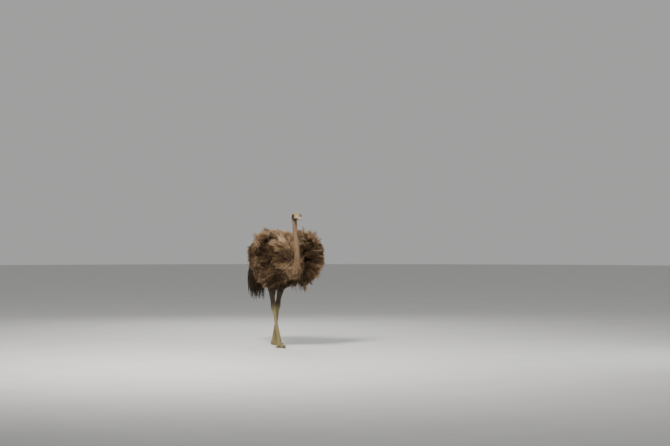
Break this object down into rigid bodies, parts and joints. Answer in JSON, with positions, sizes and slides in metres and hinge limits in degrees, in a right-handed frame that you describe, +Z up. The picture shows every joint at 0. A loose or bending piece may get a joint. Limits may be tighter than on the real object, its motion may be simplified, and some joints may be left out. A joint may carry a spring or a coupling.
{
  "type": "ostrich",
  "caption": "Life-size still model of an adult female ostrich walking with her wings held off her sides, fluffed grey-brown plumage and a lowered, bent neck.",
  "frame": {"origin": "on the floor under the middle of the bird's bounding box", "axes": "+Z up, the bird faces -Y, her left side is +X"},
  "size_m": [0.9648, 1.355, 1.6031],
  "materials": {
    "plumage": "matt, loose and shaggy",
    "wing_plumes": "matt, loose and shaggy",
    "tail_plumes": "matt, loose and shaggy",
    "neck_down": "short matt down",
    "head_down": "short matt down",
    "horn": "satin horn",
    "eye": "wet gloss",
    "leg_skin": "matt scaled skin",
    "claw": "satin horn"
  },
  "bodies": {
    "root": {"trunk": "plumage", "wing_left": "wing_plumes", "wing_right": "wing_plumes", "tail": "tail_plumes", "neck_lower": "neck_down", "neck_upper": "neck_down", "head": "head_down", "bill_upper": "horn", "bill_lower": "horn", "eye_left": "eye", "eye_right": "eye", "thigh_left": "leg_skin", "thigh_right": "leg_skin", "shank_left": "leg_skin", "shank_right": "leg_skin", "tarsus_left": "leg_skin", "tarsus_right": "leg_skin", "toe_main_left": "leg_skin", "toe_main_right": "leg_skin", "toe_outer_left": "leg_skin", "toe_outer_right": "leg_skin", "claw_left": "claw", "claw_right": "claw"}
  },
  "joints": []
}
